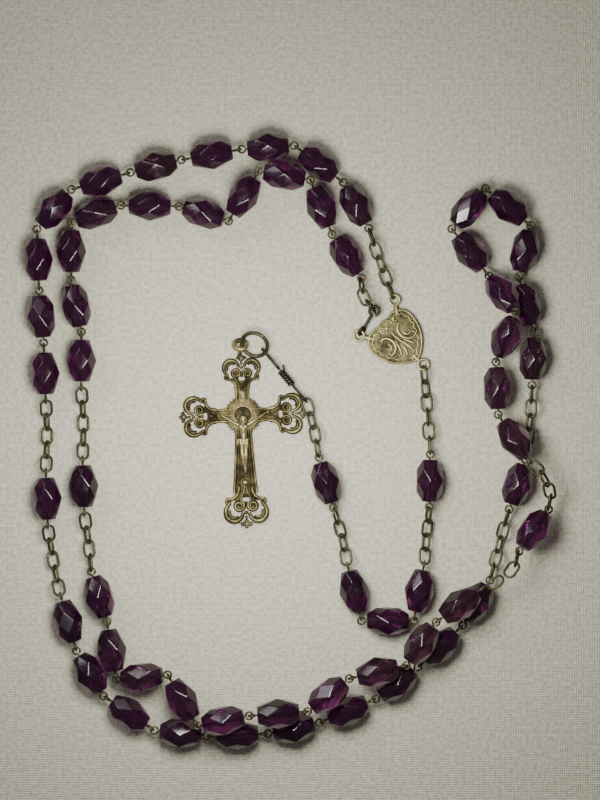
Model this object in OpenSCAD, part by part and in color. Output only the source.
/* [Beads] */
// Length of a bead along its bore
bead_l = 8; // [7:0.1:9]
// Width of a bead across its belt corners
bead_d = 5.8; // [5:0.1:6.1]
// Width of the flat hexagon at each end of a bead
bead_end_d = 3.1; // [2.6:0.1:3.6]
// Diameter of the bore
bore_d = 0.9; // [0.7:0.05:1.2]

/* [Eye pins] */
// Diameter of the turned eye's wire
pin_wire = 0.44; // [0.36:0.02:0.5]
// Radius of an eye, to the middle of its wire
pin_eye_r = 0.68; // [0.64:0.01:0.75]
// Diameter of the pin's straight shaft
pin_shaft_d = 0.4; // [0.3:0.02:0.42]
// Gap between a bead's end and the eye
pin_gap = 0.15; // [0.04:0.01:0.2]

/* [Chain] */
// Length of a link, outside
link_l = 3.85; // [3.4:0.05:4]
// Width of a link, outside
link_w = 2.6; // [2.4:0.05:2.8]
// Diameter of a link's wire
link_wire = 0.52; // [0.5:0.02:0.6]
// Slack left where one loop pulls on the next
slack = 0.08; // [0.05:0.01:0.12]

/* [Centrepiece] */
// Width of the heart's body
heart_w = 10.6; // [10:0.1:11]
// Thickness of the heart's plate
heart_t = 1.5; // [1.2:0.1:1.8]
// Direction that the heart's lobes point, from +X
heart_heading = 135; // [130:1:140]

/* [Crucifix] */
// Thickness of the cross
cross_t = 1.5; // [1.2:0.1:1.8]
// Distance from the crossing to the middle of the hanging eye
cross_eye_y = 13.6; // [13.4:0.1:14]
// Direction of the foot, from +X
cross_heading = 272; // [268:1:276]

/* [Jump ring] */
// Radius of the jump ring, to the middle of its wire
ring_r = 2.55; // [2.4:0.05:2.7]
// Diameter of the jump ring's wire
ring_wire = 0.8; // [0.7:0.05:0.8]

/* [Hidden] */
$fn = 32;

// ---- Kinds of piece in a strand: each ends in a round loop ----
BEAD = 0;
LINK = 1;
HEART = 2;
HOOK = 3;
TIE = 4;
RING = 5;
CROSS = 6;
hook_l = 4.5;
hook_eye_r = 0.9;
hook_wire = 0.66;
tie_l = 11.5;
tie_eye_r = 0.86;
tie_wire = 0.56;
heart_eye_r = 1.0;
heart_eye_wire = 0.6;
cross_eye_r = 1.25;
cross_eye_wire = 0.9;
link_bend_r = (link_w - link_wire) / 2;
EYE_R = [pin_eye_r, link_bend_r, heart_eye_r, hook_eye_r, tie_eye_r, ring_r, cross_eye_r];
WIRE = [pin_wire, link_wire, heart_eye_wire, hook_wire, tie_wire, ring_wire, cross_eye_wire];
pin_reach = pin_gap + pin_wire / 2 + pin_eye_r;
pin_l = bead_l + 2 * pin_reach;
link_straight = link_l - link_w;
LENGTH = [pin_l, link_straight, 0, hook_l, tie_l, 0, 0];

link_sway = 32;

// ---- Laying a strand: each unit is [kind, heading, elevation, roll] ----
function dir(h, e) = [cos(h) * cos(e), sin(h) * cos(e), sin(e)];
function unit_dir(u) = dir(u[1], u[2]);
function lerp(a, b, t) = a + (b - a) * t;
// Vector v after rotate(a)
function turned(v, a) =
    let (
        x = [v[0], v[1] * cos(a[0]) - v[2] * sin(a[0]), v[1] * sin(a[0]) + v[2] * cos(a[0])],
        y = [x[0] * cos(a[1]) + x[2] * sin(a[1]), x[1], x[2] * cos(a[1]) - x[0] * sin(a[1])]
    )
    [y[0] * cos(a[2]) - y[1] * sin(a[2]), y[0] * sin(a[2]) + y[1] * cos(a[2]), y[2]];
// Distance between two interlinked loops' middles
function gap(a, b) = EYE_R[a] + EYE_R[b] - (WIRE[a] + WIRE[b]) / 2 - slack;
// Step from the middle of one loop to the next: turns share it one way, lifts the other,
// because each loop bears on the wire of its neighbour. Two pin eyes part along the line where
// the planes of both eyes meet.
function step(u, v) =
    let (
        g = gap(u[0], v[0]),
        a = unit_dir(u),
        b = unit_dir(v),
        flat = abs(sin(u[3])) < 0.7,
        turn = flat ? EYE_R[v[0]] : g - EYE_R[u[0]],
        lift = flat ? g - EYE_R[u[0]] : EYE_R[v[0]],
        upright_h = flat ? v[1] : u[1],
        slope = flat ? tan(u[2]) * cos(u[1] - upright_h) : tan(v[2]) * cos(v[1] - upright_h)
    )
    u[0] == BEAD && v[0] == BEAD ? (g - v[4]) * dir(upright_h, atan(slope))
        : [lerp(a[0], b[0], turn / g) * g, lerp(a[1], b[1], turn / g) * g, lerp(a[2], b[2], lift / g) * g];
// Links start square to the piece before them and lie over toward the table in mid chain
function chain(n, h0, h1, e0, e1, roll, twist = 0) =
    [for (j = [0 : n - 1]) [LINK, lerp(h0, h1, j / (n - 1)), lerp(e0, e1, j / (n - 1)),
        roll + (90 + twist) * j + twist - link_sway * sin(180 * (j + 1) / (n + 1))]];
// A decade that is pushed together has its eyes closer by squeeze
function beads(headings, parity, squeeze = 0, tilts = []) =
    [for (k = [0 : len(headings) - 1])
        [BEAD, headings[k], len(tilts) > k ? tilts[k] : 0, (k + parity) % 2 * 90, squeeze]];
// Placed units: [kind, heading, elevation, roll, first loop's middle, last loop's middle]
function lay(units, from, i = 0) = i == len(units) ? [] :
    let (
        u = units[i],
        start = from[5] + step(from, u),
        placed = [u[0], u[1], u[2], u[3], start, start + LENGTH[u[0]] * unit_dir(u)]
    )
    concat([placed], lay(units, placed, i + 1));
function last(list) = list[len(list) - 1];
function part(list, a, b) = [for (i = [a : b]) list[i]];
// Elbow of two bars p to q: heading of the first bar, bending left for side = 1
function elbow(p, q, a, b, side) =
    let (d = norm([q[0] - p[0], q[1] - p[1]]))
    atan2(q[1] - p[1], q[0] - p[0]) + side * acos((a * a + d * d - b * b) / (2 * a * d));

// ---- The centrepiece: three eyes round the heart ----
eye_z = 1.2;
heart_top_y = 6.1;
heart_top_x = 4.85;
heart_foot_y = -6.6;
function heart_point(x, y) =
    [x * cos(heart_heading - 90) - y * sin(heart_heading - 90),
     x * sin(heart_heading - 90) + y * cos(heart_heading - 90), eye_z];
function heart_eye(x, y, heading) =
    let (p = heart_point(x, y)) [HEART, heading, 0, 0, p, p];

// ---- Inner strand: hook, decade 5, decade 4 and four beads of decade 3 ----
squeeze = 0.34;
hook_start = heart_eye(-heart_top_x, heart_top_y, 58);
inner_hook = [[HOOK, 58, 13, 0, 0]];
inner_1 = chain(3, 140, 90, 48, -38, 90);
decade_5 = beads([124, 112, 170, 239, 163, 179, 199, 270, 281, 270], 0, squeeze,
    [5, 5, 0, -5, -5]);
inner_2 = chain(5, 272, 270, -24, 24, 0);
father_3 = beads([272], 1);
inner_3 = chain(4, 277, 277, -17, 20, 0);
decade_4 = beads([287, 280, 6, 301, 11, 4, 38, 13, 56, 36], 0, squeeze,
    [0, 5, 8, 7, 3, -1.5, -1.5, 0, 4, 0]);
inner_4 = chain(4, 21, 68, 30, -40, 0);
father_2 = beads([53], 0, 0, [-13]);
inner_5 = chain(4, 88, 138, 38, -4, 90);
decade_3_end = beads([123, 92, 71, 122], 1, 0.2, [-15, -4, 31, -32]);
inner = lay(concat(inner_hook, inner_1, decade_5, inner_2, father_3, inner_3, decade_4,
    inner_4, father_2, inner_5, decade_3_end), hook_start);

// ---- Outer strand: decade 1, decade 2 and the rest of decade 3 ----
outer_start = heart_eye(heart_top_x, heart_top_y, 113);
outer_1 = chain(5, 112, 108, 10, 6, 90);
decade_1 = beads([119, 143, 184, 190, 194, 196, 229, 272, 275, 272], 0);
outer_2 = chain(5, 270, 270, -25, 25, 0);
father_1 = beads([272], 1);
outer_3 = chain(5, 275, 286, -24, 24, 0);
decade_2 = beads([286, 301, 326, 354, 2, 12, 23, 37, 43, 59], 1);
outer_4 = chain(5, 74, 76, -18, 18, 90);
father_4 = beads([72], 0);
outer_5 = chain(5, 81, 89, -12, 12, 90);
decade_3_start = beads([88, 105, 77, 140.6], 0, squeeze);
outer_open = lay(concat(outer_1, decade_1, outer_2, father_1, outer_3, decade_2,
    outer_4, father_4, outer_5, decade_3_start), outer_start);
// The last two beads close the loop on the inner strand, like a two-bar linkage
close_squeeze = 0.18;
close_gap = gap(BEAD, BEAD) - close_squeeze;
close_from = last(outer_open)[5] + close_gap * unit_dir(last(outer_open));
close_to = last(inner)[5];
close_bar = pin_l + 2 * close_gap;
close_1 = elbow(close_from, close_to, pin_l, close_bar, -1);
close_knee = close_from + pin_l * dir(close_1, 0);
close_2 = atan2(close_to[1] - close_knee[1], close_to[0] - close_knee[0]);
outer_close = lay(beads([close_1, close_2], 0, close_squeeze), last(outer_open));
outer = concat(outer_open, outer_close);

// ---- Pendant: Our Father, three Hail Marys, Our Father, tie, ring and crucifix ----
pendant_start = heart_eye(0, heart_foot_y, 276);
pendant_1 = chain(6, 275, 273, 5, 9, 90, -13);
pendant_bead_1 = beads([269], 0);
pendant_2 = chain(4, 266, 264, -27, 23, 90);
hail_marys = beads([260, 180, 104], 1);
pendant_3 = chain(4, 99, 108, -16, 20, 0);
pendant_bead_5 = beads([106], 0);
pendant_4 = chain(4, 99, 107, -8, -2, 90);
tie_unit = [[TIE, 130, -2.4, 90, 0]];
pendant = lay(concat(pendant_1, pendant_bead_1, pendant_2, hail_marys, pendant_3,
    pendant_bead_5, pendant_4, tie_unit), pendant_start);

// ---- Jump ring and crucifix, hung from the tie's upper loop ----
ring_turn = [-30, 15.4, 180];
ring_ease = 0.1;
ring_at = last(pendant)[5] - (gap(TIE, RING) - ring_ease) * turned([cos(137), sin(137), 0], ring_turn);
cross_eye_at = ring_at + gap(RING, CROSS) * turned([1, 0, 0], ring_turn);
cross_turn = cross_heading - 270;
cross_at = [cross_eye_at[0] + cross_eye_y * sin(cross_turn),
    cross_eye_at[1] - cross_eye_y * cos(cross_turn), 0];

// ---- Pieces, each in its own frame with its loops on the X axis ----
module bead() {
    n = 6;
    r = bead_d / 2;
    flat = r * cos(180 / n);
    r_end = bead_end_d / 2;
    x_end = bead_l / 2;
    x_mid = x_end * (r - flat * cos(180 / n)) / (r - r_end);
    points = [for (ring = [[0, r, 30], [x_mid, flat, 0], [-x_mid, flat, 0], [x_end, r_end, 30],
        [-x_end, r_end, 30]], i = [0 : n - 1]) let (a = 360 / n * i + ring[2])
        [ring[0], ring[1] * cos(a), ring[1] * sin(a)]];
    function at(ring, i) = ring * n + (i + n) % n;
    faces = concat(
        [for (i = [0 : n - 1]) [at(0, i - 1), at(1, i), at(0, i), at(2, i)]],
        [for (i = [0 : n - 1]) [at(1, i), at(3, i), at(1, i + 1), at(0, i)]],
        [for (i = [0 : n - 1]) [at(2, i), at(0, i), at(2, i + 1), at(4, i)]],
        [for (i = [0 : n - 1]) [at(3, i - 1), at(3, i), at(1, i)]],
        [for (i = [0 : n - 1]) [at(4, i - 1), at(2, i), at(4, i)]],
        [[for (i = [n - 1 : -1 : 0]) at(3, i)], [for (i = [0 : n - 1]) at(4, i)]]);
    difference() {
        polyhedron(points, faces);
        translate([-bead_l, 0, 0]) rotate([0, 90, 0]) cylinder(h = 2 * bead_l, d = bore_d);
    }
}
module torus(r, wire) {
    rotate_extrude() translate([r, 0]) circle(d = wire, $fn = 24);
}
module eye_pin() {
    for (s = [-1, 1]) translate([s * pin_l / 2, 0, 0]) torus(pin_eye_r, pin_wire);
    shaft = pin_l - 2 * pin_eye_r;
    translate([-shaft / 2, 0, 0]) rotate([0, 90, 0]) cylinder(h = shaft, d = pin_shaft_d, $fn = 24);
}
module link() {
    for (s = [-1, 1]) {
        translate([s * link_straight / 2, 0, 0]) rotate(s * -90) rotate_extrude(angle = 180)
            translate([link_bend_r, 0]) circle(d = link_wire, $fn = 24);
        translate([-link_straight / 2, s * link_bend_r, 0]) rotate([0, 90, 0])
            cylinder(h = link_straight, d = link_wire, $fn = 24);
    }
}
module at_unit(u) {
    translate((u[4] + u[5]) / 2) rotate([u[3], -u[2], u[1]]) children();
}
// ---- Groups of a strand ----
module beads_of(strand, a, b) {
    color("#4a1440") for (u = part(strand, a, b)) at_unit(u) bead();
}
module pins_of(strand, a, b) {
    color("#6b5a3a") for (u = part(strand, a, b)) at_unit(u) eye_pin();
}
module links_of(strand, a, b) {
    color("#6b5a3a") for (u = part(strand, a, b)) at_unit(u) link();
}

// ---- Heart centrepiece, lobes toward +Y in its own frame ----
module heart_outline(w) {
    lobe_x = w * 0.24;
    lobe_y = w * 0.2;
    lobe_r = w / 2 - lobe_x;
    side_r = w / 2 + lobe_x;
    for (s = [-1, 1]) translate([s * lobe_x, lobe_y]) circle(r = lobe_r, $fn = 64);
    intersection() {
        translate([-lobe_x, lobe_y]) circle(r = side_r, $fn = 96);
        translate([lobe_x, lobe_y]) circle(r = side_r, $fn = 96);
        translate([-w, lobe_y - 2 * w]) square([2 * w, 2 * w]);
    }
}
module heart_loop(x, y, from_x, from_y) {
    reach = norm([x - from_x, y - from_y]) - heart_eye_r;
    translate([x, y, eye_z]) torus(heart_eye_r, heart_eye_wire);
    translate([from_x, from_y, 0.35]) rotate(atan2(y - from_y, x - from_x))
        translate([0, -0.55, 0]) cube([reach, 1.1, eye_z - 0.15]);
}
module heart_centrepiece() {
    rim_h = 0.25;
    color("#a8935a") rotate(heart_heading - 90) {
        linear_extrude(heart_t - rim_h) heart_outline(heart_w);
        linear_extrude(heart_t) difference() {
            heart_outline(heart_w - 0.2);
            heart_outline(heart_w - 1.6);
        }
        scroll_r = heart_w * 0.13;
        for (s = [-1, 1], k = [0, 1])
            translate([s * heart_w * (0.2 - 0.06 * k), heart_w * (0.16 - 0.3 * k), 0])
                cylinder(r = scroll_r * (1 - 0.25 * k), h = heart_t, $fn = 32);
        heart_loop(-heart_top_x, heart_top_y, -3.2, 3.4);
        heart_loop(heart_top_x, heart_top_y, 3.2, 3.4);
        heart_loop(0, heart_foot_y, 0, -3.6);
    }
}

// ---- Repair hook: a closed eye on the heart, an open hook in the chain ----
module repair_hook() {
    color("#3a2f22") at_unit(inner[0]) {
        translate([-hook_l / 2, 0, 0]) rotate([70, 0, 0]) torus(hook_eye_r, hook_wire);
        shank = hook_l - 2 * hook_eye_r;
        translate([-shank / 2, 0, 0]) rotate([0, 90, 0])
            cylinder(h = shank, d = hook_wire - 0.06, $fn = 24);
        translate([hook_l / 2, 0, 0]) rotate(-140) rotate_extrude(angle = 320)
            translate([hook_eye_r, 0]) circle(d = hook_wire, $fn = 24);
    }
}

// ---- Twisted wire: lower eye, five coils round the stem, long upper loop, cut tail ----
module twisted_wire() {
    stem_d = 0.62;
    coil_r = 0.5;
    coils = 6;
    loop_in = tie_l / 2 - 3.2;
    color("#2e2620") at_unit(last(pendant)) {
        translate([-tie_l / 2, 0, 0]) torus(tie_eye_r, tie_wire);
        translate([-tie_l / 2 + tie_eye_r, 0, 0]) rotate([0, 90, 0])
            cylinder(h = loop_in - tie_eye_r + tie_l / 2 - tie_eye_r, d = stem_d - 0.1, $fn = 24);
        for (k = [0 : coils - 1])
            translate([-2.2 + k * stem_d, 0, 0]) rotate([0, 90, 0]) torus(coil_r, tie_wire);
        translate([loop_in, 0, 0]) rotate(90) rotate_extrude(angle = 180)
            translate([tie_eye_r, 0]) circle(d = tie_wire, $fn = 24);
        translate([tie_l / 2, 0, 0]) rotate(-90) rotate_extrude(angle = 180)
            translate([tie_eye_r, 0]) circle(d = tie_wire, $fn = 24);
        for (s = [-1, 1]) translate([loop_in, s * tie_eye_r, 0]) rotate([0, 90, 0])
            cylinder(h = tie_l / 2 - loop_in, d = tie_wire, $fn = 24);
        translate([0.6, 0, coil_r]) rotate([0, 60, 0]) cylinder(h = 2.2, d = tie_wire - 0.1, $fn = 24);
    }
}

module jump_ring() {
    color("#6b5a3a") translate(ring_at) rotate(ring_turn) torus(ring_r, ring_wire);
}

// ---- Crucifix: eye toward +Y and back on the table in its own frame ----
module ring_2d(r, width) {
    difference() {
        circle(r = r, $fn = 48);
        circle(r = r - width, $fn = 48);
    }
}
// One openwork end: crescents, volutes, curls and a three-bud tip, outward along +Y
module openwork_end(tip_bore) {
    t = cross_t * 0.75;
    linear_extrude(t) {
        for (s = [-1, 1]) {
            translate([s * 1.85, 2.7]) ring_2d(1.5, 0.62);
            translate([s * 1.25, 1.35]) ring_2d(0.95, 0.5);
            translate([s * 2.75, 0.75]) ring_2d(0.75, 0.45);
            translate([s * 0.85, 4.3]) circle(r = 0.55, $fn = 32);
        }
        translate([-2.75, 0.6]) square([5.5, 0.55]);
        translate([-0.5, 1]) square([1, 2.9]);
        difference() {
            translate([0, 4.5]) circle(r = 0.85, $fn = 32);
            translate([0, 4.5]) circle(d = tip_bore, $fn = 24);
        }
    }
    translate([0, 1.75, t - 0.1]) cylinder(r = 0.4, h = 0.35, $fn = 24);
}
module crucifix_cross() {
    arm_x = 7.1;
    foot_y = -16.1;
    top_y = 6.9;
    t = cross_t * 0.85;
    eye_tilt = 44;
    color("#9a8048") translate(cross_at) rotate(cross_turn) {
        linear_extrude(t) {
            polygon([[-1.7, -1.7], [-1.7, -5], [-2.6, foot_y - 0.9], [2.6, foot_y - 0.9],
                [1.7, -5], [1.7, -1.7]]);
            polygon([[-1.6, 1.6], [-1.45, 4.6], [-1.9, top_y + 0.7], [1.9, top_y + 0.7],
                [1.45, 4.6], [1.6, 1.6]]);
            for (s = [0, 180]) rotate(s) polygon([[1.6, -1.65], [1.6, 1.65], [arm_x - 2.4, 1.25],
                [arm_x + 0.7, 1.7], [arm_x + 0.7, -1.7], [arm_x - 2.4, -1.25]]);
            square([4.4, 4.4], center = true);
        }
        rays = 24;
        ray_r = 3.3;
        linear_extrude(t - 0.1) polygon([for (i = [0 : 2 * rays - 1])
            (i % 2 == 0 ? ray_r : ray_r * 0.9) * [cos(i * 180 / rays), sin(i * 180 / rays)]]);
        translate([0, 0, t - 0.1]) cylinder(r = 1.95, h = 0.35, $fn = 48);
        translate([-1.15, 3.3, t - 0.2]) cube([2.3, 1.5, 0.5]);
        translate([0, -13, t]) sphere(r = 0.62, $fn = 32);
        translate([0, foot_y, 0]) rotate(180) scale([1.12, 1.12, 1]) openwork_end(0.5);
        for (s = [-90, 90]) rotate(s) translate([0, arm_x, 0]) openwork_end(0.5);
        translate([0, top_y, 0]) scale([0.96, 0.96, 0.85]) openwork_end(0.3);
        neck_y = top_y + 4.7;
        near_rim = [0, cross_eye_y, cross_eye_at[2]] - cross_eye_r * turned([0, 1, 0], [-eye_tilt, 0, 0]);
        hull() {
            translate([-0.8, neck_y, 0.1]) cube([1.1, 0.5, 0.7]);
            translate(near_rim) cube([0.6, 0.4, 0.4], center = true);
        }
        translate([0, cross_eye_y, cross_eye_at[2]]) rotate([-eye_tilt, 0, 0])
            torus(cross_eye_r, cross_eye_wire);
    }
}

// ---- Corpus: a plain figure of rounded limbs, its back on the cross ----
module limb(a, b) {
    hull() {
        translate([a[0], a[1], a[2]]) sphere(r = a[3], $fn = 16);
        translate([b[0], b[1], b[2]]) sphere(r = b[3], $fn = 16);
    }
}
module crucifix_corpus() {
    back = cross_t * 0.85 + 0.25;
    color("#a8935a") translate([cross_at[0], cross_at[1], back]) rotate(cross_turn) intersection() {
        union() {
            translate([0.1, -0.2, 0.5]) sphere(r = 0.72, $fn = 32);
            limb([0, -1.3, 0.25, 0.75], [0, -3.4, 0.25, 0.62]);
            limb([0, -3.6, 0.25, 0.85], [0, -5.2, 0.25, 0.8]);
            limb([0.05, -5.2, 0.25, 0.75], [0.1, -10.6, 0.2, 0.42]);
            for (s = [-1, 1]) limb([s * 0.8, -1.15, 0.25, 0.38], [s * 4.5, 0.45, 0.2, 0.3]);
        }
        translate([-20, -20, 0]) cube([40, 40, 5]);
    }
}

heart_centrepiece();
repair_hook();
links_of(outer, 0, 4);  // outer_chain_1
beads_of(outer, 5, 8);  // decade_1_upper_beads
pins_of(outer, 5, 8);  // decade_1_upper_pins
beads_of(outer, 9, 14);  // decade_1_lower_beads
pins_of(outer, 9, 14);  // decade_1_lower_pins
links_of(outer, 15, 19);  // outer_chain_2
pins_of(outer, 20, 20);  // our_father_1_pin
beads_of(outer, 20, 20);  // our_father_1_bead
links_of(outer, 21, 25);  // outer_chain_3
beads_of(outer, 26, 28);  // decade_2_upper_beads
pins_of(outer, 26, 28);  // decade_2_upper_pins
beads_of(outer, 29, 35);  // decade_2_lower_beads
pins_of(outer, 29, 35);  // decade_2_lower_pins
links_of(outer, 36, 40);  // outer_chain_4
pins_of(outer, 41, 41);  // our_father_4_pin
beads_of(outer, 41, 41);  // our_father_4_bead
links_of(outer, 42, 46);  // outer_chain_5
beads_of(outer, 47, 52);  // decade_3_outer_beads
pins_of(outer, 47, 52);  // decade_3_outer_pins
links_of(inner, 1, 3);  // inner_chain_1
beads_of(inner, 4, 8);  // decade_5_upper_beads
pins_of(inner, 4, 8);  // decade_5_upper_pins
beads_of(inner, 9, 13);  // decade_5_lower_beads
pins_of(inner, 9, 13);  // decade_5_lower_pins
links_of(inner, 14, 18);  // inner_chain_2
pins_of(inner, 19, 19);  // our_father_3_pin
beads_of(inner, 19, 19);  // our_father_3_bead
links_of(inner, 20, 23);  // inner_chain_3
beads_of(inner, 24, 26);  // decade_4_upper_beads
pins_of(inner, 24, 26);  // decade_4_upper_pins
beads_of(inner, 27, 33);  // decade_4_lower_beads
pins_of(inner, 27, 33);  // decade_4_lower_pins
links_of(inner, 34, 37);  // inner_chain_4
pins_of(inner, 38, 38);  // our_father_2_pin
beads_of(inner, 38, 38);  // our_father_2_bead
links_of(inner, 39, 42);  // inner_chain_5
beads_of(inner, 43, 46);  // decade_3_inner_beads
pins_of(inner, 43, 46);  // decade_3_inner_pins
links_of(pendant, 0, 5);  // pendant_chain_1
pins_of(pendant, 6, 6);  // pendant_pin_1
beads_of(pendant, 6, 6);  // pendant_bead_1
links_of(pendant, 7, 10);  // pendant_chain_2
pins_of(pendant, 11, 11);  // pendant_pin_2
beads_of(pendant, 11, 11);  // pendant_bead_2
pins_of(pendant, 12, 12);  // pendant_pin_3
beads_of(pendant, 12, 12);  // pendant_bead_3
pins_of(pendant, 13, 13);  // pendant_pin_4
beads_of(pendant, 13, 13);  // pendant_bead_4
links_of(pendant, 14, 17);  // pendant_chain_3
pins_of(pendant, 18, 18);  // pendant_pin_5
beads_of(pendant, 18, 18);  // pendant_bead_5
links_of(pendant, 19, 22);  // pendant_chain_4
twisted_wire();
jump_ring();
crucifix_cross();
crucifix_corpus();
